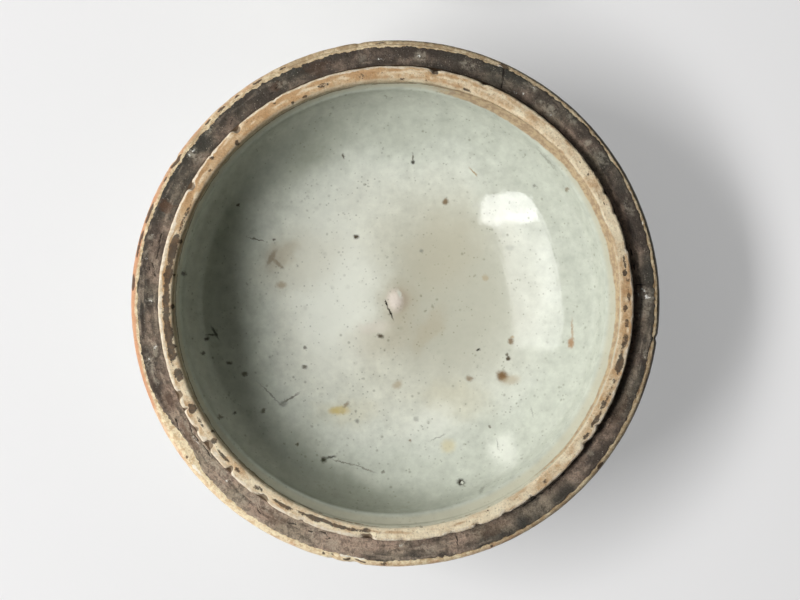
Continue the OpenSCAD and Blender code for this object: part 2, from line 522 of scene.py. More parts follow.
# Marks on the flange: azimuth, radius in pixels, half length and half width in millimetres, strength
PATCHES = [
    (158.5, 227.5, 3.0, 0.3, 0.7), (167, 229.2, 3.4, 0.62, 1), (172.5, 229.4, 3.0, 0.66, 1),
    (178, 229.6, 6.0, 0.72, 1), (188, 229.6, 5.0, 0.68, 1), (193, 228.5, 1.0, 0.5, 0.9),
    (198.3, 229, 1.1, 0.6, 1), (207.7, 229.5, 0.9, 0.62, 1), (211.5, 229, 1.6, 0.3, 0.6),
    (217.3, 229, 0.6, 0.75, 0.9), (222, 231, 1.6, 0.26, 0.9), (226.6, 230.6, 0.5, 0.35, 0.8),
    (233.5, 230.6, 1.2, 0.5, 0.7), (241, 231.6, 2.4, 0.36, 1), (249, 230.4, 4.4, 0.46, 1),
    (257, 231.2, 3.4, 0.4, 0.9), (262.5, 231, 0.8, 0.5, 0.8), (310, 233, 0.8, 0.4, 0.7),
    (325, 233.2, 0.8, 0.28, 0.8), (329.5, 232.8, 1.9, 0.36, 0.9), (334, 232, 0.9, 0.4, 0.8),
    (337, 232.6, 1.6, 0.28, 0.6), (340.3, 232.6, 0.5, 0.4, 0.8), (345.5, 232, 2.2, 0.55, 0.9),
    (350.5, 232.8, 1.4, 0.4, 0.75), (355, 232.6, 0.7, 0.4, 0.8), (358.5, 230, 0.8, 0.35, 0.7),
    (1.3, 233.4, 1.0, 0.26, 0.8), (5.5, 233.5, 0.4, 0.35, 0.7), (7.4, 231.5, 0.45, 0.35, 1),
    (10.3, 233, 1.1, 0.25, 0.7), (108.3, 229.5, 1.2, 0.28, 0.6), (98.5, 229, 0.5, 0.45, 0.5),
    (129.4, 234.5, 0.5, 0.2, 0.6), (121.2, 234.3, 0.3, 0.2, 0.9), (141.8, 234.5, 0.35, 0.4, 0.8),
    (144.5, 228, 0.3, 0.2, 0.8), (113.8, 226.2, 0.5, 0.28, 0.9), (117.2, 225.6, 0.25, 0.25, 0.9),
    (71.5, 225.5, 1.0, 0.2, 0.9), (82, 225.3, 0.3, 0.2, 0.8), (88, 225, 0.5, 0.15, 0.8),
    (134.8, 225.8, 0.35, 0.4, 1), (164.3, 224.3, 0.35, 0.3, 1), (173, 224.2, 0.2, 0.2, 0.9),
    (27, 222.8, 0.45, 0.25, 0.9), (181, 223.8, 0.5, 0.35, 0.9), (215.2, 224.3, 0.3, 0.3, 0.9),
    (346.5, 224.5, 0.35, 0.25, 0.9), (25.3, 231, 0.2, 0.22, 0.9), (33.6, 231.5, 0.2, 0.2, 0.8),
    (37.3, 232, 0.22, 0.2, 0.8), (44, 226, 0.25, 0.2, 0.8), (276.5, 226, 0.2, 0.2, 0.8),
    (294, 228, 0.2, 0.2, 0.7), (80.2, 236.4, 0.75, 0.5, 1),
]
# Dark dashes and spots on the outer lip, and pale chips there, in the same form
LIP_DARK = [
    (65, 260.2, 1.1, 0.6, 1), (93.5, 261.4, 0.9, 0.22, 0.7), (116, 261.4, 0.8, 0.25, 0.9),
    (122.5, 261.5, 1.2, 0.25, 0.9), (127.5, 261.5, 0.6, 0.2, 0.8), (132, 261.7, 0.9, 0.25, 0.9),
    (136, 261.6, 0.6, 0.22, 0.8), (147, 261.8, 1.4, 0.28, 1), (152, 261.9, 0.9, 0.22, 0.8),
    (160, 262.2, 1.7, 0.28, 0.9), (165.8, 262.5, 1.2, 0.25, 0.9), (169, 262.6, 1.5, 0.28, 1),
    (176, 263, 1.9, 0.28, 1), (216.6, 259, 0.28, 0.28, 0.9), (221.3, 256.3, 0.6, 0.22, 0.8),
    (209, 257.8, 0.25, 0.3, 0.7), (254, 261, 0.28, 0.28, 0.9), (256, 260.5, 0.4, 0.3, 0.7),
    (259, 261.8, 0.7, 0.3, 0.9), (262.4, 261.8, 1.2, 0.18, 0.8), (267.5, 262, 0.6, 0.3, 0.6),
    (291.5, 262.3, 0.4, 0.3, 0.7), (308, 259.4, 0.25, 0.25, 0.8), (321.5, 261.5, 0.7, 0.3, 0.8),
]
LIP_PALE = [
    (259, 257.8, 1.7, 0.4, 1), (262.5, 258.5, 1.5, 0.3, 1), (17.8, 258.6, 0.4, 0.4, 0.8),
    (24.7, 258.8, 0.7, 0.4, 0.9), (33.8, 258.7, 0.6, 0.4, 0.7), (66.3, 257.7, 0.7, 0.5, 0.9),
    (221, 259.5, 1.6, 0.4, 0.7),
]
TAN_KNOTS = [
    (0, 0.75), (11, 0.6), (17, 0.2), (45, 0.3), (60, 0.45), (90, 0.8), (125, 0.8), (150, 0.9), (165, 0.6),
    (195, 0.45), (212, 0.6), (230, 0.45), (262, 0.2), (272, 0.0), (295, 0.2), (312, 0.5), (330, 0.55),
    (350, 0.65),
]
# How strongly the flange's outer edge is painted pale: wear, and a painted highlight that is strongest on
# the lower left, where the light falls
WORN_AND_LIT_KNOTS = [
    (0, 0.9), (12, 0.7), (20, 0.3), (60, 0.2), (80, 0.6), (95, 0.85), (120, 0.8), (140, 0.8), (158, 1.1),
    (212, 1.2), (222, 1.5), (232, 1.1), (239, 1.4), (258, 1.1), (266, 0.8), (290, 0.7), (305, 1.0),
    (350, 1.0),
]
# Where the glaze ends and the tan flash lies inside the mouth, in millimetres before the flange's top
GLAZE_END = [
    (0, 0.55), (30, 0.63), (60, 1.2), (90, 1.75), (120, 1.8), (160, 1.8), (190, 1.8), (215, 1.5),
    (230, 1.3), (255, 0.65), (262, 0.52), (290, 0.52), (320, 0.56), (345, 0.52),
]
FLASH_IN = [
    (0, 1.6), (20, 1.9), (40, 2.5), (50, 3.1), (60, 3.4), (76, 3.5), (120, 2.0), (250, 1.0), (320, 1.1),
    (340, 1.4),
]
FLASH_OUT = [(0, 0.4), (20, 0.3), (40, 0.5), (50, 0.75), (60, 0.85), (76, 0.9), (250, 0.5), (320, 0.5)]
ORANGE_KNOTS = [
    (0, 0.1), (90, 0.15), (110, 0.35), (150, 0.6), (165, 1.0), (178, 1.2), (195, 1.1), (210, 0.5),
    (240, 0.35), (255, 0.3), (270, 0.45), (300, 0.4), (320, 0.2),
]
# Painted shade on the lip's outer edge, strongest on the right, where its rounding faces away from the
# light
RIM_SHADE_KNOTS = [
    (0, 0.95), (25, 1), (42, 0.85), (52, 0.6), (70, 0.45), (85, 0.45), (110, 0.35), (135, 0.3),
    (150, 0.15), (200, 0.0), (250, 0.1), (275, 0.2), (300, 0.3), (330, 0.4), (345, 0.65),
]
# How far the lip has turned from cream to a dull tan
LIP_TAN = [
    (0, 0.5), (45, 0.4), (70, 0.6), (95, 0.5), (130, 0.6), (150, 0.55), (165, 0.4), (195, 0.3),
    (215, 0.0), (250, 0.0), (265, 0.2), (285, 0.3), (300, 0.55), (330, 0.7),
]


# Painted shade at the foot of the well's wall: darker glaze where the wall's shadow falls, strongest to the
# upper left and lower left
WALL_FOOT_SHADE_KNOTS = [
    (60, 0), (100, 0.15), (120, 0.65), (140, 0.25), (170, 0.1), (182, 0.15), (200, 0.1), (220, 0.2),
    (240, 0.7), (262, 0.85), (280, 0.45), (300, 0.1), (310, 0),
]
# How far that darker band lies out from where it is at the left, in millimetres
WALL_FOOT_SHADE_OUT = [(180, 0), (215, 0), (240, 1.4), (262, 4.2), (285, 5.4), (310, 5.0), (350, 0)]
# Painted light and shade on the wall: darker on its lit right side, lighter towards the bottom and lower
# right
WALL_LIGHT_AND_SHADE = [
    (0, -0.7), (20, -1.0), (50, -0.5), (80, -0.1), (100, 0), (180, 0), (215, 0.2), (240, 0.5), (270, 0.6),
    (300, 0.9), (320, 0.5), (340, -0.2),
]
# The same for the strip above it, added to the wall's: painted light on its shaded left, painted shade
# towards the lower right
STRIP_LIGHT_AND_SHADE = [
    (0, -0.1), (130, 0), (165, 2.4), (205, 2.4), (235, 1.5), (255, -0.6), (280, -1.2), (310, -0.8),
]


def ledge_border(az):
    """Radius in millimetres at which the crust on the ledge ends."""
    return photo_radius(around(az, CRUST_KNOTS), LEDGE_Z)


def streaks(own, long, wide, seed):
    """Noise from -1 to 1 drawn out along the rim, in strokes about as long and wide as given."""
    r, az = polar(own)
    a = np.radians(az)
    drawn = np.c_[np.cos(a) * LEDGE_R * wide / long, np.sin(a) * LEDGE_R * wide / long, r]
    return noise(drawn + 90.0, wide, seed, 3)


def frayed_line(own, runs, seed):
    """Small noise, fine noise, and the run along the outline as both of them fray it."""
    small = noise(own, 1.6, seed, 2)
    grain = noise(own, 0.55, seed + 4, 2)
    return small, grain, runs + 0.12 * small + 0.10 * grain


def base_paint(own, runs):
    """Masks for the base's material, painted round the rim."""
    at = BASE.at
    r, az = polar(own)
    small, grain, line = frayed_line(own, runs, 205)
    slow = noise(own, 3.0, 211, 2)
    fray = 0.6 * small + 0.5 * grain
    bite = bites(az, chipping(own), NOTCHES)
    lip_run = smooth(runs, at.lip - 1.0, at.lip + 0.3)
    in_well = smooth(at.crease - runs, -0.3, 0.3)
    worn_and_lit_to = np.maximum(0.72 + 0.4 * slow + 0.25 * small + 0.8 * bite, 0.2)
    # Widest on the lit left, where the pale edge is also a painted highlight
    worn_and_lit_to += 0.15 * within(turn(az, 205), -50, 50, 10)
    tan_edge = band(line, at.mouth + 1.0, 0.8, 0.3) * within(turn(az, 130), -70, 70, 15)
    glaze_end = at.mouth - around(az, GLAZE_END)
    ring_end = np.maximum(glaze_end + 0.5, at.mouth - 0.3)
    flash_in = at.mouth - around(az, FLASH_IN)
    flash_out = at.mouth - around(az, FLASH_OUT)
    flash = within(line + 0.3 * slow, flash_in, flash_out, 0.3) * within(az + 3.0 * small, -50, 78, 8.0)
    grimy = smooth(slow + 0.5 * small, -0.7, 0.0) * (1 - within(az, -40, 60, 12))
    grimy = grimy * (1 - 0.5 * within(turn(az, 290), -30, 30, 15))
    shade_ring = within(r + 1.0 * slow - around(az, WALL_FOOT_SHADE_OUT), 29.5, 36.5, 2.2)
    crust_edge = r - ledge_border(az)
    return {
        "bare": smooth(line, glaze_end + 0.1, glaze_end + 0.35),
        "patch": spots(own, FLANGE_TOP, PATCHES, fray) * smooth(at.ledge - runs, 0.5, 1.5),
        "worn": around(az, WORN_AND_LIT_KNOTS) * within(line, at.edge - worn_and_lit_to, at.edge + 0.3, 0.25),
        "tan": around(az, TAN_KNOTS) + 0.25 * noise(own, 5.0, 215, 2) + tan_edge,
        "ring": within(line, glaze_end + 0.25, ring_end, 0.15) * (1 - 0.8 * within(az, -60, 70, 10)),
        "flash": flash,
        "grime": within(line, glaze_end - 0.16, glaze_end + 0.16, 0.14) * grimy,
        "notch": np.clip(bite * 2.2, 0, 1) * smooth(line, at.edge - 1.0 - bite, at.edge - 0.3 - bite),
        "streak": streaks(own, 2.6, 0.6, 225),
        "pool": around(az, WALL_FOOT_SHADE_KNOTS) * shade_ring * in_well,
        "grade": around(az, WALL_LIGHT_AND_SHADE) * smooth(r, 26.0, 33.0) + around(az, STRIP_LIGHT_AND_SHADE) * (1 - in_well),
        "orange": around(az, ORANGE_KNOTS) * smooth(line, at.lip - 0.2, at.lip + 0.7),
        "lip_tan": around(az, LIP_TAN) + 0.35 * slow,
        "outline": around(az, RIM_SHADE_KNOTS) * smooth(line, at.lip + 0.3, at.lip + 0.8),
        "dirt": within(crust_edge + 0.2 * small, -0.3, 0.25, 0.25) * lip_run,
        "dark": spots(own, LEDGE_Z - 0.4, LIP_DARK, fray) * lip_run,
        "pale": spots(own, LEDGE_Z - 0.2, LIP_PALE, fray) * lip_run,
    }


def lid_shape(own, runs):
    """The same unevenness on the lid."""
    at = LID.at
    out = own.copy()
    unit = outward(own)
    wide = noise(np.c_[unit[:, :2] * 40, runs], 22.0, 103)
    small = noise(own, 2.2, 105, 2)
    well = smooth(at.crease - runs, 0.0, 2.0)
    push(out, UP, 0.05 * well * noise(own, 14.0, 121))
    lines = np.sin(runs * 4.1) * within(runs, at.floor + 4, at.crease - 2, 2.0)
    push(out, unit, 0.012 * lines * well)
    push(out, UP, -bare_ledge(at, runs) * (0.05 + 0.04 * small))
    push(out, unit + UP * 0.35, -rounded_lip(at, runs) * (0.07 + 0.05 * wide + 0.04 * small))
    side = smooth(runs, at.side, at.side + 3) * smooth(at.foot - runs, 1.0, 6.0)
    push(out, unit, -side * (0.06 + 0.05 * wide))
    return out


def lid_paint(own, runs):
    """Masks for the lid's material, with fewer marks than the base's. Masks that are left out are 0."""
    at = LID.at
    small, grain, line = frayed_line(own, runs, 305)
    broad = noise(own, 9.0, 311, 2)
    patchy = smooth(broad + 0.4 * small, 0.25, 0.45)
    return {
        "bare": smooth(line, at.mouth - 1.1, at.mouth - 0.8),
        "patch": patchy * within(runs, at.mouth - 1.2, at.ledge - 0.4, 0.3) * 0.8,
        "tan": 0.5 + 0.4 * broad,
        "flash": within(line, at.mouth - 2.0, at.mouth - 1.1, 0.3) * smooth(broad, 0.0, 0.2),
        "grime": within(line, at.mouth - 1.9, at.mouth - 1.2, 0.2) * smooth(-broad, 0.0, 0.2),
        "streak": streaks(own, 2.6, 0.6, 325),
        "lip_tan": 0.4 + 0.4 * broad,
        "orange": (0.4 + 0.6 * smooth(broad, -0.2, 0.3)) * smooth(line, at.lip + 0.3, at.side - 0.1),
        "outline": 0.5 * smooth(broad, 0.0, 0.4) * smooth(line, at.lip + 0.55, at.lip + 1.1),
        "dirt": 0.6 * within(line, at.lip - 0.3, at.lip + 0.1, 0.3) * smooth(small, -0.3, 0.3),
        "dark": smooth(small + 0.5 * grain, 0.5, 0.65) * smooth(line, at.lip + 0.4, at.lip + 0.8) * 0.7,
    }


# Crust of kiln grit and old paste on the base's ledge: how light it is, and marks in the form of PATCHES
CRUST_TONE = [
    (0, 0.25), (12, 0.15), (20, -0.2), (42, -0.15), (50, 0.15), (60, 0.0), (75, -0.15), (90, -0.3),
    (120, -0.25), (150, -0.1), (165, 0.05), (195, 0.15), (205, 0.5), (215, 1.2), (235, 1.6), (250, 1.2),
    (262, 0.75), (275, 0.5), (290, 0.35), (310, 0.3), (330, 0.3), (350, 0.25),
]
CRUST_PALE = [
    (1.5, 250, 1.5, 1.3, 0.5), (22, 252, 1.4, 0.7, 0.4), (35, 251, 1.6, 0.8, 0.5),
    (39.7, 250, 0.5, 0.6, 0.8), (46, 254, 1.2, 0.5, 0.5), (51.5, 245, 2.0, 1.0, 0.7),
    (57.5, 254, 1.3, 0.5, 0.6), (73, 248, 1.4, 0.9, 0.6), (84, 247, 1.0, 1.0, 0.6),
    (98, 247, 0.8, 0.9, 0.3), (117.5, 245, 0.9, 0.5, 0.5), (137.5, 253, 0.8, 0.5, 0.7),
    (143.5, 252.5, 1.0, 0.6, 0.8), (144, 243, 0.9, 0.6, 0.4), (165, 253, 0.7, 0.5, 0.6),
    (169.5, 253, 0.9, 0.5, 0.6), (179.5, 245, 0.6, 0.7, 0.8), (194, 252.5, 2.2, 0.8, 0.6),
    (223, 243.5, 3.0, 0.6, 0.6), (237, 243.5, 3.0, 0.6, 0.6), (191, 244.5, 1.2, 0.6, 0.7),
    (198, 252, 0.9, 0.4, 0.7), (212, 242, 2.2, 0.4, 0.6), (218, 241, 1.8, 0.45, 0.6),
    (226, 253, 1.2, 0.6, 0.5), (227, 244, 0.6, 0.8, 0.7), (232, 250, 1.3, 0.8, 0.5),
    (251, 244, 1.5, 0.9, 0.6), (256, 251, 1.5, 1.0, 0.4), (271.3, 243, 0.5, 0.45, 0.9),
    (277, 249, 1.6, 1.0, 0.4), (322, 246, 0.7, 0.9, 0.5), (348, 255, 0.9, 0.4, 0.6),
    (358, 247, 1.4, 1.2, 0.5),
]
# White specks on the crust that are partly painted highlights
CRUST_GLINTS = [
    (1.3, 252, 0.35, 0.5, 1), (2.6, 249, 0.25, 0.25, 1), (1.6, 243, 0.4, 0.2, 1),
    (3.2, 246.5, 0.2, 0.2, 0.8), (57.2, 254.5, 0.35, 0.2, 0.9), (58.6, 244.5, 0.3, 0.28, 1),
    (60.2, 241.5, 0.35, 0.18, 0.9), (50.3, 243, 0.25, 0.2, 0.8), (84.5, 247, 0.2, 0.3, 0.8),
    (143, 252.5, 0.35, 0.2, 1), (144.5, 253.5, 0.2, 0.2, 0.9), (136.3, 246, 0.2, 0.2, 0.8),
    (164.5, 252, 0.2, 0.2, 0.8), (170, 252.5, 0.2, 0.3, 0.8), (179.8, 245, 0.3, 0.3, 1),
    (193, 253, 0.3, 0.2, 0.8), (190.6, 244, 0.25, 0.3, 0.9), (226.6, 245.5, 0.2, 0.25, 0.9),
    (271.2, 243, 0.32, 0.3, 1), (347.5, 255, 0.25, 0.18, 0.8), (357, 244, 0.2, 0.25, 0.8),
    (359, 243.5, 0.2, 0.2, 0.8), (94, 243.5, 0.6, 0.16, 0.7), (215, 242.5, 1.2, 0.18, 0.8),
]
CRUST_STREAKS = [
    (0, 0.45), (60, 0.35), (100, 0.45), (150, 0.6), (200, 1.1), (235, 1.4), (265, 0.9), (300, 0.5),
    (335, 0.6),
]
CRUST_STAINS = [
    (157.3, 248, 1.0, 1.7, 0.9), (119, 246, 1.4, 0.8, 0.5), (109, 247, 2.0, 1.2, 0.4),
    (204, 247, 1.8, 1.0, 0.5), (240, 246, 3.0, 1.0, 0.4), (293, 246, 3.0, 1.2, 0.4),
    (335, 247, 4.0, 1.2, 0.45), (213, 245, 2.6, 0.7, 0.6),
]
CRUST_CRACKS = [
    [(118.2, 250), (118.6, 246), (118.4, 243)], [(118.5, 246), (119.6, 244), (121, 243.5)],
    [(65.2, 260), (64.6, 250), (63.9, 240)], [(284.4, 250), (284.7, 246), (284.5, 242)],
    [(163.5, 243), (165.5, 244), (167, 242.5), (169.5, 243.5)], [(171, 246), (172, 243.5), (173.8, 242)],
    [(172, 248), (173.6, 246)], [(207.8, 249.4), (210, 250.4), (212, 251.4)],
    [(210.5, 238.6), (213, 241), (215, 240), (218.5, 239), (220, 241)], [(236, 247), (237.5, 250)],
    [(249.5, 245), (251, 241.5), (253, 241), (254.5, 244), (253.5, 246)], [(4.2, 252), (4.1, 242)],
    [(6, 240.5), (9, 241.3), (14, 240)], [(128.8, 248), (129.3, 246)], [(131.5, 245), (133, 243)],
    [(244, 246), (246, 243.5)], [(300, 240.5), (307, 240.8), (315, 240.5)],
]


def crust_ring(name, inner, outer, z, thick, seed, border, paint, centre_y=0.0):
    """A thin slab on a ledge. Its top dives below the ledge where the crust ends, in a ragged outline.
    border gives the crust's outer radius at each azimuth, and paint its masks."""
    rows, turns = 26, 1800
    u = np.linspace(0, 1, rows)[:, None]
    angle = (np.arange(turns) * 2 * math.pi / turns)[None, :]
    r = (inner + (outer - inner) * u) + 0 * angle
    own = np.stack([r * np.cos(angle), r * np.sin(angle), np.full_like(r, z)], axis=-1).reshape(-1, 3)
    r, az = polar(own)
    rag = noise(own, 2.4, seed, 3)
    fray = noise(own, 0.7, seed + 4, 2)
    lumps = noise(own, 1.2, seed + 7, 3)
    grains = noise(own, 0.42, seed + 11, 1)
    masks = paint(own)
    crack = masks.get("crack", 0)
    from_in = r - inner - (0.12 + 0.12 * rag + 0.12 * fray)
    from_out = border(az) + 0.14 + 0.22 * rag + 0.26 * fray + 0.10 * noise(own, 0.4, seed + 15) - r
    inside = np.minimum(from_in, from_out)
    body = thick * (0.58 + 0.26 * lumps + 0.16 * grains) - 0.09 * crack
    height = np.where(inside > 0, body * smooth(inside, 0.0, 0.2), -0.42 * smooth(-inside, 0.0, 0.35))
    top = own + np.c_[np.zeros((len(own), 2)), height]
    last = (rows - 1) * turns
    sunk = np.array([0, 0, -0.55])
    bottom = np.concatenate([own[:turns] + sunk, own[last:] + sunk])
    points = np.concatenate([top, bottom])
    faces = []
    for j in range(rows - 1):
        faces += fan(j * turns, turns, (j + 1) * turns, turns)
    low_in, low_out = rows * turns, (rows + 1) * turns
    for a, b in ((last, low_out), (low_out, low_in), (low_in, 0)):
        faces += fan(a, turns, b, turns)
    masks = {key: np.concatenate([values, values[:turns], values[last:]]) for key, values in masks.items()}
    return mesh_object(name, points, faces, points, masks, centre_y)


def ledge_crust_paint(own):
    r, az = polar(own)
    fray = 0.6 * noise(own, 1.0, 405, 2) + 0.45 * noise(own, 0.4, 407)
    wander = 0.35 * noise(own, 1.1, 411, 2)
    bent = own + np.c_[wander, 0.35 * noise(own, 1.1, 415, 2), np.zeros(len(own))]
    # Painted light: the crust is paler inside the flange's shadow, most of all on the right. It is also
    # lighter near the flange and darker towards the lip
    shadow_fill_light = smooth(FLANGE_R + 1.7 - r, 0.0, 0.9) * smooth(np.cos(np.radians(az - 4)), 0.5, 0.95)
    slope = 0.25 - 0.55 * smooth(r, FLANGE_R + 1.2, FLANGE_R + 3.4)
    return {
        "tone": around(az, CRUST_TONE) + slope + 1.6 * shadow_fill_light + 0.55 * noise(own, 2.8, 441, 2),
        "hue": noise(own, 6.0, 421, 3),
        "streak": streaks(own, 3.2, 0.55, 425) * around(az, CRUST_STREAKS),
        "pale": spots(own, LEDGE_Z, CRUST_PALE, fray),
        "glint": spots(own, LEDGE_Z, CRUST_GLINTS, fray),
        "stain": spots(own, LEDGE_Z, CRUST_STAINS, fray),
        "crack": cracks(bent, LEDGE_Z, CRUST_CRACKS, 0.17) * smooth(noise(own, 0.9, 431), -0.75, 0.0),
    }


def rim_crust_paint(own):
    broad = noise(own, 12.0, 505, 2)
    small = noise(own, 1.4, 507, 2)
    return {
        "tone": 0.35 + 0.4 * broad,
        "hue": noise(own, 6.0, 521, 3),
        "streak": 0.5 * streaks(own, 3.2, 0.55, 525),
        "pale": smooth(small, 0.35, 0.6) * 0.6,
        "glint": smooth(noise(own, 0.6, 509), 0.75, 0.9),
        "stain": smooth(broad, 0.25, 0.5) * 0.6,
    }


# Materials
def srgb(r, g, b):
    """A colour that is written as it looks on screen, 0 to 255, as linear light."""
    def linear(c):
        c = c / 255
        return c / 12.92 if c <= 0.04045 else ((c + 0.055) / 1.055) ** 2.4

    return linear(r), linear(g), linear(b), 1.0


class Value:
    """What a shader node puts out. Adding, subtracting or multiplying values makes the nodes for it."""

    def __init__(self, nodes, socket):
        self.nodes = nodes
        self.socket = socket

    def __add__(self, other):
        return self.nodes.math("ADD", self, other)

    def __radd__(self, other):
        return self.nodes.math("ADD", other, self)

    def __sub__(self, other):
        return self.nodes.math("SUBTRACT", self, other)

    def __rsub__(self, other):
        return self.nodes.math("SUBTRACT", other, self)

    def __mul__(self, other):
        return self.nodes.math("MULTIPLY", self, other)


class Nodes:
    """A material and short names for the shader nodes that it uses."""

    def __init__(self, name):
        self.material = bpy.data.materials.new(name)
        self.material.use_nodes = True
        self.tree = self.material.node_tree
        self.tree.nodes.clear()
        self.out = self.tree.nodes.new("ShaderNodeOutputMaterial")
        self.shader = self.tree.nodes.new("ShaderNodeBsdfPrincipled")
        self.tree.links.new(self.shader.outputs[0], self.out.inputs[0])
        self.own = self.attribute("own", "Vector")
        self.place = self.vector("ADD", self.own, (131.0, 57.0, 23.0))

    def feed(self, socket, value):
        if isinstance(value, Value):
            self.tree.links.new(value.socket, socket)
        else:
            socket.default_value = value

    def node(self, kind, inputs, output=0, **settings):
        """One output of a new node of this kind, with its inputs fed and its settings made."""
        node = self.tree.nodes.new("ShaderNode" + kind)
        for key, value in settings.items():
            setattr(node, key, value)
        for key, value in inputs.items():
            self.feed(node.inputs[key], value)
        return Value(self, node.outputs[output])

    def math(self, operation, a, b=0.0):
        return self.node("Math", {0: a, 1: b}, operation=operation)

    def attribute(self, name, output="Fac"):
        return self.node("Attribute", {}, output, attribute_name=name)

    def vector(self, operation, *values, output="Vector"):
        return self.node("VectorMath", dict(enumerate(values)), output, operation=operation)

    def radius(self):
        return self.vector("LENGTH", self.vector("MULTIPLY", self.own, (1, 1, 0)), output="Value")

    def noise(self, size, detail=2.0, rough=0.5, output="Fac"):
        """Noise from about 0.2 to 0.8 with lumps about size millimetres wide."""
        inputs = {"Vector": self.place, "Scale": 1 / size, "Detail": detail, "Roughness": rough}
        return self.node("TexNoise", inputs, output)

    def cells(self, size):
        """Distance from the nearest of points scattered about size millimetres apart."""
        return self.node("TexVoronoi", {"Vector": self.place, "Scale": 1 / size}, "Distance")

    def plan(self, size, far):
        """The place seen from above, as (x, y, 1), moved about by noise so that borders turn ragged."""
        moved = self.vector("MULTIPLY_ADD", self.noise(size, 3.0, 0.6, "Color"), (far, far, 0), self.own)
        return self.vector("MULTIPLY_ADD", moved, (1, 1, 0), (-far / 2, -far / 2, 1))

    def oval(self, plan, centre, half_length, half_width, angle, soft, strength):
        """strength inside an oval that runs straight down through the glaze, and 0 outside it."""
        a = math.radians(angle)
        sides = {}
        for i, (u, v) in enumerate(((math.cos(a), math.sin(a)), (-math.sin(a), math.cos(a)))):
            half = (half_length, half_width)[i]
            weights = (u / half, v / half, -(u * centre[0] + v * centre[1]) / half)
            sides[i] = self.vector("DOT_PRODUCT", plan, weights, output="Value")
        away = self.vector("LENGTH", self.node("CombineXYZ", sides), output="Value")
        return self.step(away, 1 + soft, 1 - soft, strength)

    def step(self, value, low, high, top=1.0):
        """0 at low, top at high, smooth between. low may be the higher one."""
        bounds = {"From Min": min(low, high), "From Max": max(low, high)}
        ends = {"To Min": top if low > high else 0.0, "To Max": 0.0 if low > high else top}
        return self.node("MapRange", {"Value": value, **bounds, **ends}, interpolation_type="SMOOTHSTEP")

    def mix(self, share, a, b):
        """From colour a to colour b. A colour is a value, or red, green and blue as they look on screen."""
        a, b = (srgb(*colour) if isinstance(colour, tuple) else colour for colour in (a, b))
        return self.node("Mix", {0: share, 6: a, 7: b}, 2, data_type="RGBA")

    def cover(self, colour, other, mask, fray, low, high, top=1.0):
        """The other colour where a painted mask, its border frayed by noise, goes from low to high."""
        return self.mix(self.step(self.attribute(mask) + fray, low, high, top), colour, other)

    def tint(self, colour, factor):
        """The colour made lighter or darker by a factor."""
        return self.node("HueSaturation", {"Color": colour, "Value": factor})

    def bump(self, height):
        """A normal for a height in millimetres."""
        return self.node("Bump", {"Strength": 1.0, "Distance": MM, "Height": height}, "Normal")


MARK_COLOURS = {
    "black": (42, 36, 30),
    "dark": (84, 74, 60),
    "brown": (120, 96, 68),
    "rust": (158, 116, 74),
    "tan": (164, 142, 106),
    "beige": (182, 172, 146),
    "stain": (174, 173, 157),
    "white": (242, 244, 232),
    "yellow": (206, 186, 122),
    "grey": (138, 138, 128),
    "pale": (224, 226, 212),
    "pink": (222, 212, 200),
    "mauve": (166, 152, 134),
}
# Wide stains in the glaze, and a paler patch left of the middle that is partly pale deposit and partly
# painted light: pixel, half length and half width in millimetres, angle, colour, strength
CLOUDS = [
    ((452, 298), 18.0, 14.5, 90, "stain", 0.85), ((332, 295), 13.0, 8.5, 90, "white", 0.8),
    ((339, 205), 9.0, 6.0, 30, "white", 0.25), ((440, 250), 9.0, 6.0, 60, "beige", 0.30),
    ((300, 262), 8.0, 5.0, 20, "beige", 0.25), ((385, 335), 7.0, 3.5, 15, "tan", 0.20),
    ((345, 412), 5.0, 2.4, 0, "yellow", 0.14), ((397, 302), 3.0, 3.4, 0, "tan", 0.25),
    ((430, 330), 4.5, 1.6, 60, "tan", 0.22), ((282, 256), 3.0, 1.6, 40, "tan", 0.30),
    ((372, 326), 2.6, 1.2, 10, "pink", 0.35), ((503, 450), 2.4, 2.6, 0, "white", 0.5),
    ((455, 400), 6.0, 3.0, -10, "yellow", 0.12), ((430, 420), 5.0, 2.0, 30, "white", 0.3),
]
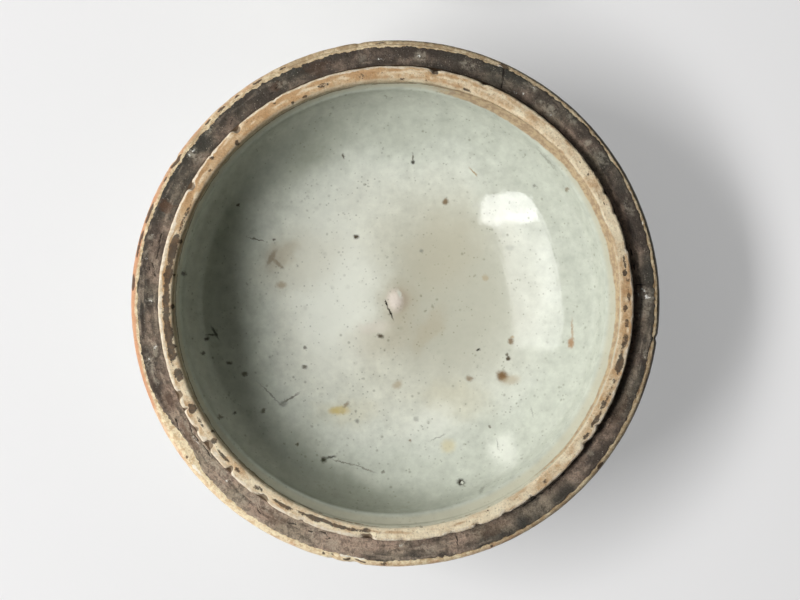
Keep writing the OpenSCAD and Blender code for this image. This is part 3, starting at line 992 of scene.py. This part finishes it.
# Specks, pits and short scratches, in the same form. The first two are the turning mark: a pink patch on a
# larger mauve one, which shows on its right as painted shade.
MARKS = [
    ((398.5, 300), 1.75, 2.0, 0, "mauve", 0.75), ((394.5, 300.5), 1.35, 1.85, 10, "pink", 0.95),
    ((399, 294), 0.35, 0.8, 20, "pale", 0.8), ((356, 237), 0.50, 0.42, 0, "dark", 1.0),
    ((343, 156), 0.25, 0.42, 0, "dark", 0.9), ((412.5, 162), 0.36, 0.34, 0, "black", 0.9),
    ((412.6, 157.5), 0.12, 0.75, 0, "dark", 0.75), ((445, 202), 0.55, 0.5, 60, "brown", 0.9),
    ((473, 172), 1.0, 0.16, -48, "tan", 0.9), ((274, 240), 0.3, 0.25, 30, "dark", 0.8),
    ((256, 239.5), 1.3, 0.1, -12, "dark", 0.8), ((380, 336), 0.55, 0.4, -10, "dark", 0.95),
    ((386, 304), 0.7, 0.14, -70, "black", 1.0), ((390, 313), 1.3, 0.2, -66, "black", 1.0),
    ((304, 367), 0.42, 0.36, 0, "dark", 0.8), ((304.6, 347.5), 0.34, 0.3, 0, "dark", 0.7),
    ((271, 258), 1.6, 0.45, 60, "brown", 0.5), ((278, 264), 1.2, 0.35, -45, "brown", 0.5),
    ((281, 285), 0.9, 0.6, 0, "tan", 0.6), ((238, 205), 0.3, 0.3, 0, "dark", 0.9),
    ((189, 275), 0.3, 0.4, 0, "black", 0.8), ((172, 305), 0.3, 0.5, 10, "black", 0.8),
    ((207, 339), 0.35, 0.35, 0, "black", 0.9), ((204, 353), 0.35, 0.3, 0, "black", 0.8),
    ((215, 333), 1.3, 0.2, -62, "black", 0.8), ((211, 335), 0.8, 0.14, 0, "black", 0.7),
    ((229, 363), 0.5, 0.28, 0, "dark", 0.8), ((244.5, 374), 0.5, 0.4, 0, "dark", 0.8),
    ((263, 411), 0.42, 0.42, 0, "dark", 0.8), ((224, 416), 0.5, 0.26, -45, "dark", 0.8),
    ((235, 412.5), 0.3, 0.3, 0, "black", 0.8), ((290, 398.5), 1.7, 0.2, 32, "dark", 0.7),
    ((283, 404), 0.7, 0.5, 0, "grey", 0.7), ((270, 394), 2.6, 0.12, -45, "grey", 0.8),
    ((340, 410.5), 1.5, 0.75, 0, "yellow", 0.75), ((333, 411), 0.9, 0.5, 0, "yellow", 0.6),
    ((346, 405), 0.7, 0.3, 40, "brown", 0.6), ((357, 421), 0.4, 0.35, 0, "grey", 0.8),
    ((323.5, 460), 0.5, 0.5, 0, "black", 1.0), ((331, 457.3), 0.9, 0.22, 8, "black", 0.8),
    ((343, 462.5), 1.8, 0.12, -14, "dark", 0.6), ((363, 468), 2.2, 0.14, -20, "dark", 0.5),
    ((297, 444.5), 0.25, 0.25, 0, "dark", 0.9), ((460.7, 482), 0.68, 0.5, 0, "black", 1.0),
    ((462, 482.5), 0.22, 0.22, 0, "pale", 1.0), ((502, 376), 0.95, 0.9, 0, "brown", 1.0),
    ((510, 380), 1.6, 0.8, 10, "tan", 0.45), ((469, 378.5), 0.65, 0.5, 0, "brown", 0.7),
    ((478, 350), 0.36, 0.26, 40, "black", 1.0), ((508, 358.5), 0.42, 0.4, 0, "dark", 1.0),
    ((507, 355), 0.25, 0.3, 0, "dark", 0.8), ((510.5, 341.5), 0.5, 0.55, 0, "brown", 0.85),
    ((512, 337), 0.35, 0.3, 0, "tan", 0.7), ((570.5, 343), 0.5, 0.9, 0, "rust", 0.8),
    ((572, 330), 0.22, 1.9, 0, "rust", 0.5), ((485, 278), 0.6, 0.55, 0, "tan", 0.5),
    ((416, 419), 0.5, 0.5, 0, "grey", 0.5), ((397, 385), 0.9, 0.7, 30, "tan", 0.5),
    ((421, 251), 0.35, 0.3, 0, "grey", 0.8), ((510, 248), 0.7, 0.5, 0, "grey", 0.35),
    ((534, 186), 0.35, 0.3, 0, "grey", 0.8), ((566, 191), 0.35, 0.35, 0, "brown", 0.7),
    ((546, 162), 2.6, 0.14, -48, "grey", 0.5), ((437.5, 437.5), 1.5, 0.10, 22, "grey", 0.6),
    ((497.5, 444.5), 0.9, 0.09, -80, "grey", 0.6), ((532, 412), 0.9, 0.09, -75, "grey", 0.5),
    ((489.5, 427), 0.24, 0.26, 0, "dark", 0.7), ((448, 446), 1.3, 1.1, 20, "yellow", 0.4),
    ((482, 488), 0.7, 0.3, 50, "grey", 0.6), ((410, 440.5), 0.24, 0.22, 0, "brown", 0.7),
    ((383, 472), 0.3, 0.3, 0, "dark", 0.6),
]


def floor_marks(n, colour):
    """Stains, specks, pits and scratches that lie at known places on the glazed floor, with some painted
    light and shade among them.
    """
    for plan, soft, marks in ((n.plan(4.3, 5.0), 0.6, CLOUDS), (n.plan(0.62, 0.8), 0.6, MARKS)):
        for pixel, half_length, half_width, angle, tone, strength in marks:
            share = n.oval(plan, photo_point(*pixel), half_length, half_width, angle, soft, strength)
            colour = n.mix(share, colour, MARK_COLOURS[tone])
    return colour


def glaze_colour(n, r, marks):
    """Pale celadon, greener towards the wall, clouded and stained by use, with some painted light among its
    clouds, and fine specks.
    """
    cloud = n.noise(11.0, 3.0, 0.6)
    patchy = n.noise(3.3, 3.0, 0.6)
    mottle = n.noise(1.4, 4.0, 0.65)
    place = r + (cloud - 0.5) * 16.0
    colour = n.mix(n.step(place, 34.0, 8.0), (212, 216, 204), (216, 215, 199))
    colour = n.mix(n.step(place, 24.0, 33.0), colour, (192, 196, 182))
    colour = n.tint(colour, 0.59 + (patchy * 0.44 + mottle * 0.40))
    if marks:
        colour = floor_marks(n, colour)
    gate = n.step(n.noise(2.4, 3.0, 0.6), 0.44, 0.62)
    for size, radius, strength in ((0.85, 0.16, 0.50), (1.9, 0.12, 0.50), (2.7, 0.17, 0.16)):
        speck = n.step(n.cells(size), radius * 1.8, radius * 0.4, strength)
        colour = n.mix(speck * gate, colour, (118, 118, 100))
    return colour


def glaze_relief(n, run):
    """Gentle waves of the glaze, fine throwing lines and pits, in millimetres."""
    relief = n.noise(6.0) * 0.05 + n.noise(0.8, 4.0, 0.62) * 0.0065
    lines = n.math("SINE", run * 8.0 + n.noise(7.0) * 9.0)
    return relief + lines * 0.0007 + n.step(n.cells(0.5), 0.0, 0.2, 0.004)


def clay_colour(n, is_base):
    """Bare clay of the flange, from pale cream to pinkish tan, with a cream line where the glaze ends."""
    shade = (n.broad - 0.5) * 1.4 + (n.mid - 0.5) * 1.6
    clay = n.cover((226, 211, 180), (192, 156, 114), "tan", shade, 0.0, 1.1)
    streak = n.attribute("streak")
    clay = n.mix(n.step(streak, 0.05, 0.5, 0.6), clay, (240, 228, 198))
    clay = n.mix(n.step(streak, -0.05, -0.5, 0.6), clay, (170, 131, 90))
    clay = n.mix(n.attribute("ring") * 0.5, clay, (208, 197, 170))
    clay = n.tint(clay, 0.64 + n.speck * 0.70)
    clay = n.mix(n.step(n.speck, 0.40, 0.30, 0.6), clay, (118, 90, 62))
    # Pale outer edge of the flange: wear, and a painted highlight on its lit side
    worn = n.mix(n.step(n.mid, 0.42, 0.6), (224, 212, 191), (206, 187, 157))
    clay = n.cover(clay, worn, "worn", n.rag * 1.4, 0.3, 0.7)
    patch = n.mix(n.step(n.mid, 0.44, 0.60), (60, 51, 45), (90, 72, 56))
    clay = n.cover(clay, patch, "patch", n.rag * 1.8 + (n.speck - 0.5) * 1.6, 0.3, 0.72, 0.9)
    # Darker in the notches: crust lodged there, and painted shade
    clay = n.cover(clay, (104, 86, 66), "notch", n.rag * 1.4, 0.3, 0.7, 0.85)
    if is_base:
        clay = n.mix(n.step(n.line, n.at.edge + 0.2, n.at.edge + 0.9), clay, (84, 68, 52))
    return clay


def lip_colour(n):
    """The outer lip, where the glaze runs thin and fires cream to orange."""
    lip = n.mix(n.step(n.mid, 0.42, 0.62), (240, 224, 188), (214, 186, 146))
    lip = n.cover(lip, (164, 140, 108), "lip_tan", (n.mid - 0.5) * 1.2, 0.0, 1.0)
    lip = n.cover(lip, (196, 142, 106), "orange", (n.broad - 0.5) * 1.2, 0.25, 0.9, 0.9)
    lip = n.tint(lip, 0.84 + n.speck * 0.28)
    # The lip's dark outer edge: on the base this is painted shade, strongest on the right
    lip = n.cover(lip, (62, 54, 42), "outline", n.rag * 0.8, 0.3, 0.65, 0.92)
    lip = n.cover(lip, (112, 86, 58), "dirt", n.rag * 1.2, 0.45, 0.85, 0.75)
    lip = n.mix(n.step(n.speck, 0.40, 0.30, 0.5), lip, (120, 90, 60))
    lip = n.cover(lip, (78, 62, 50), "dark", n.rag * 1.4, 0.35, 0.65, 0.9)
    return n.cover(lip, (238, 230, 214), "pale", n.rag * 1.4, 0.4, 0.7)


def porcelain(name, at, is_base):
    """Glaze, bare clay and fired lip of one half, told apart by the masks painted on its mesh."""
    n = Nodes(name)
    n.at = at
    run = n.attribute("run")
    bare = n.attribute("bare")
    r = n.radius()
    n.rag = n.noise(0.7, 5.0, 0.75) - 0.5
    n.line = run + n.rag * 0.55
    n.broad = n.noise(3.0, 3.0, 0.6)
    n.mid = n.noise(0.95, 4.0, 0.7)
    n.speck = n.noise(0.34, 3.0, 0.7)

    # The strip inside the mouth is duller than the well, and its edge holds dirt or a tan flash
    colour = glaze_colour(n, r, is_base)
    # Painted shade at the foot of the well's wall
    colour = n.mix(n.attribute("pool") * 0.6, colour, (112, 116, 96))
    colour = n.mix(n.step(n.line, at.crease + 0.1, at.crease + 1.2, 0.55), colour, (194, 187, 160))
    # Painted light and shade on the wall and on the strip above it
    colour = n.tint(colour, 1.0 + n.attribute("grade") * 0.1)
    colour = n.cover(colour, (122, 102, 70), "grime", n.rag, 0.3, 0.7, 0.75)
    colour = n.mix(bare, colour, clay_colour(n, is_base))
    flash = n.mix(n.step(n.mid, 0.42, 0.6), (184, 159, 122), (154, 126, 96))
    colour = n.cover(colour, flash, "flash", n.rag * 0.6, 0.1, 0.9, 0.85)
    past_ledge = n.step(n.line, at.ledge + 0.6, at.ledge + 1.0)
    colour = n.mix(past_ledge, colour, lip_colour(n))
    outside = n.step(run + (n.broad - 0.5) * 5.0, at.side + 0.2, at.side + 1.6)
    colour = n.mix(outside, colour, glaze_colour(n, r + 34.0, False))
    clay_share = bare * n.step(n.line, at.lip + 0.2, at.lip - 0.2)
    if is_base:
        foot = n.step(n.line, at.foot - 0.3, at.foot + 0.2) * n.step(n.line, at.under + 1.2, at.under + 0.5)
        ring = n.mix(n.step(n.broad, 0.4, 0.6), (208, 188, 154), (168, 140, 106))
        colour = n.mix(foot, colour, n.tint(ring, 0.8 + n.speck * 0.4))
        clay_share = n.math("MAXIMUM", clay_share, foot)

    # Clay is matt and gritty, and the lip in between
    lip_share = past_ledge * (1.0 - outside)
    rough = n.noise(2.5, 3.0, 0.6) * 0.05 + 0.005 + lip_share * 0.34 + clay_share * 0.68
    grit = n.speck * 0.10 + n.noise(1.2, 3.0, 0.6) * 0.14
    gritty = n.math("MAXIMUM", clay_share, lip_share * 0.35)
    n.feed(n.shader.inputs["Base Color"], colour)
    n.feed(n.shader.inputs["Roughness"], n.math("MINIMUM", rough, 0.9))
    n.feed(n.shader.inputs["Normal"], n.bump(glaze_relief(n, run) + grit * gritty))
    n.shader.inputs["IOR"].default_value = 1.45
    n.shader.inputs["Specular IOR Level"].default_value = 0.36
    return n.material


def crust_material():
    """Kiln grit, wax and old paste, charcoal to pinkish grey, with flecks, white specks that are partly
    painted highlights, stains and cracks.
    """
    n = Nodes("crust")
    big = n.noise(3.6, 3.0, 0.6)
    lump = n.noise(0.8, 4.0, 0.7)
    grain = n.noise(0.25, 4.0, 0.8)
    hue = n.step(n.attribute("hue"), -0.35, 0.35)
    dark = n.mix(hue, (68, 66, 59), (78, 69, 61))
    light = n.mix(hue, (160, 146, 126), (176, 153, 134))
    colour = n.cover(dark, light, "tone", (big - 0.5) * 2.2, -0.3, 1.2)
    streak = n.attribute("streak")
    colour = n.mix(n.step(streak, 0.06, 0.40, 0.5), colour, (180, 163, 143))
    colour = n.mix(n.step(streak, -0.06, -0.40, 0.55), colour, (60, 50, 44))
    colour = n.mix(n.step(lump, 0.46, 0.60, 0.5), colour, (60, 54, 48))
    colour = n.tint(colour, 0.42 + grain * 1.16)
    fleck = n.step(n.cells(0.42), 0.30, 0.12) * n.step(n.noise(1.7, 3.0, 0.6), 0.46, 0.60)
    colour = n.mix(fleck * 0.55, colour, (178, 168, 150))
    colour = n.mix(n.attribute("stain") * 0.75, colour, (92, 66, 48))
    pale = n.attribute("pale") * n.step(lump, 0.62, 0.42)
    colour = n.mix(pale * 0.8, colour, (174, 167, 149))
    # White specks, partly painted highlights
    glint = n.attribute("glint") * n.step(n.noise(0.36, 2.0, 0.6), 0.44, 0.56)
    colour = n.mix(n.step(glint, 0.3, 0.8), colour, (232, 230, 222))
    colour = n.mix(n.step(n.attribute("crack"), 0.25, 0.7, 0.85), colour, (34, 27, 22))
    shine = n.step(n.noise(2.0, 3.0, 0.6), 0.54, 0.66)
    n.feed(n.shader.inputs["Base Color"], colour)
    n.feed(n.shader.inputs["Roughness"], 0.78 - shine * 0.38)
    n.feed(n.shader.inputs["Normal"], n.bump(lump * 0.26 + grain * 0.12))
    return n.material


def floor_material():
    """A pale floor. What looks at it sees a share of plain white, which softens the object's shadow."""
    n = Nodes("pale_floor")
    n.shader.inputs["Base Color"].default_value = srgb(226, 225, 225)
    n.shader.inputs["Roughness"].default_value = 0.9
    path = n.tree.nodes.new("ShaderNodeLightPath")
    camera, gloss, glass = (
        Value(n, path.outputs[f"Is {ray} Ray"]) for ray in ("Camera", "Glossy", "Transmission")
    )
    seen = n.math("MAXIMUM", n.math("MAXIMUM", camera, gloss), glass)
    white = n.node("Emission", {})
    both = n.node("MixShader", {0: seen * 0.35, 1: Value(n, n.shader.outputs[0]), 2: white})
    n.feed(n.out.inputs[0], both)
    return n.material


def dress(piece, material, body, node=None):
    piece.data.materials.append(material)
    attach(piece, body)
    if node:
        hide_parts(node)


BASE = base_outline()
LID = lid_outline()
crust = crust_material()

base = spin("porcelain_base", BASE, base_shape, base_paint, BASE_ROWS)
dress(base, porcelain("base_porcelain", BASE.at, True), "base", "base")

lid = spin("porcelain_lid", LID, lid_shape, lid_paint, LID_ROWS, LID_Y)
dress(lid, porcelain("lid_porcelain", LID.at, False), "lid", "lid")


def rim_border(az):
    return LEDGE_R - 0.25 + 0 * az


ledge_crust = crust_ring(
    "ledge_crust", FLANGE_R - 0.3, LEDGE_R + 0.1, LEDGE_Z - 0.04, 0.17, 71,
    ledge_border, ledge_crust_paint,
)
dress(ledge_crust, crust, "base")
rim_crust = crust_ring(
    "rim_crust", REBATE_R + 0.06, LEDGE_R + 0.05, LID_H - 0.07, 0.12, 171,
    rim_border, rim_crust_paint, LID_Y,
)
dress(rim_crust, crust, "lid")


# Camera, light and floor
def add_camera():
    data = bpy.data.cameras.new("camera")
    data.sensor_fit = "HORIZONTAL"
    data.sensor_width = 36.0
    data.lens = data.sensor_width * PX_PER_MM * CAMERA_H / PHOTO_W
    data.clip_start = 0.01
    data.clip_end = 20.0
    camera = put("camera", data)
    x = (PHOTO_W / 2 - BOX_PX[0]) / PX_PER_MM
    y = (BOX_PX[1] - PHOTO_H / 2) / PX_PER_MM
    camera.location = (x * MM, y * MM, (LEDGE_Z + CAMERA_H) * MM)
    bpy.context.scene.camera = camera


def add_window(
    name, azimuth, elevation, distance, width, height, power, shines=True, mirrored=True, roll=0
):
    """A soft rectangle of light that faces the box and shines on surfaces, is mirrored in them, or both.
    Degrees, metres and watts."""
    data = bpy.data.lights.new(name, "AREA")
    data.shape = "RECTANGLE"
    data.size = width
    data.size_y = height
    data.energy = power
    light = put(name, data)
    a, e = math.radians(azimuth), math.radians(elevation)
    where = Vector((math.cos(e) * math.cos(a), math.cos(e) * math.sin(a), math.sin(e))) * distance
    light.location = where
    turned = Quaternion((0, 0, 1), math.radians(roll))
    light.rotation_euler = ((-where).to_track_quat("-Z", "Y") @ turned).to_euler()
    light.visible_diffuse = shines
    light.visible_glossy = mirrored


# Half the side of the floor, in metres
FLOOR_HALF = 4.0


def add_floor():
    mesh = bpy.data.meshes.new("floor")
    corners = [(x * FLOOR_HALF, y * FLOOR_HALF, 0) for x, y in ((-1, -1), (1, -1), (1, 1), (-1, 1))]
    mesh.from_pydata(corners, [], [(0, 1, 2, 3)])
    mesh.materials.append(floor_material())
    floor = put("floor", mesh)


def set_world(strength):
    world = bpy.data.worlds.new("room")
    world.use_nodes = True
    back = world.node_tree.nodes["Background"]
    back.inputs[0].default_value = (1.0, 1.0, 1.0, 1.0)
    back.inputs[1].default_value = strength
    bpy.context.scene.world = world


add_camera()
add_floor()
set_world(0.015)
# The first two shine on the box, and the others are only mirrored in it
add_window("daylight", 186, 44, 1.0, 0.7, 0.19, 12.8, mirrored=False)
add_window("far_window", 140, 48, 1.3, 1.0, 0.5, 1.9, mirrored=False)
add_window("window", 189, 49, 1.0, 0.67, 0.24, 2.6, shines=False)
add_window("bright_pane", 219.5, 47, 0.98, 0.12, 0.25, 1.35, shines=False, roll=-36)
add_window("low_pane", 190, 45.5, 0.99, 0.26, 0.07, 0.15, shines=False)

bpy.context.scene.view_settings.view_transform = "Standard"
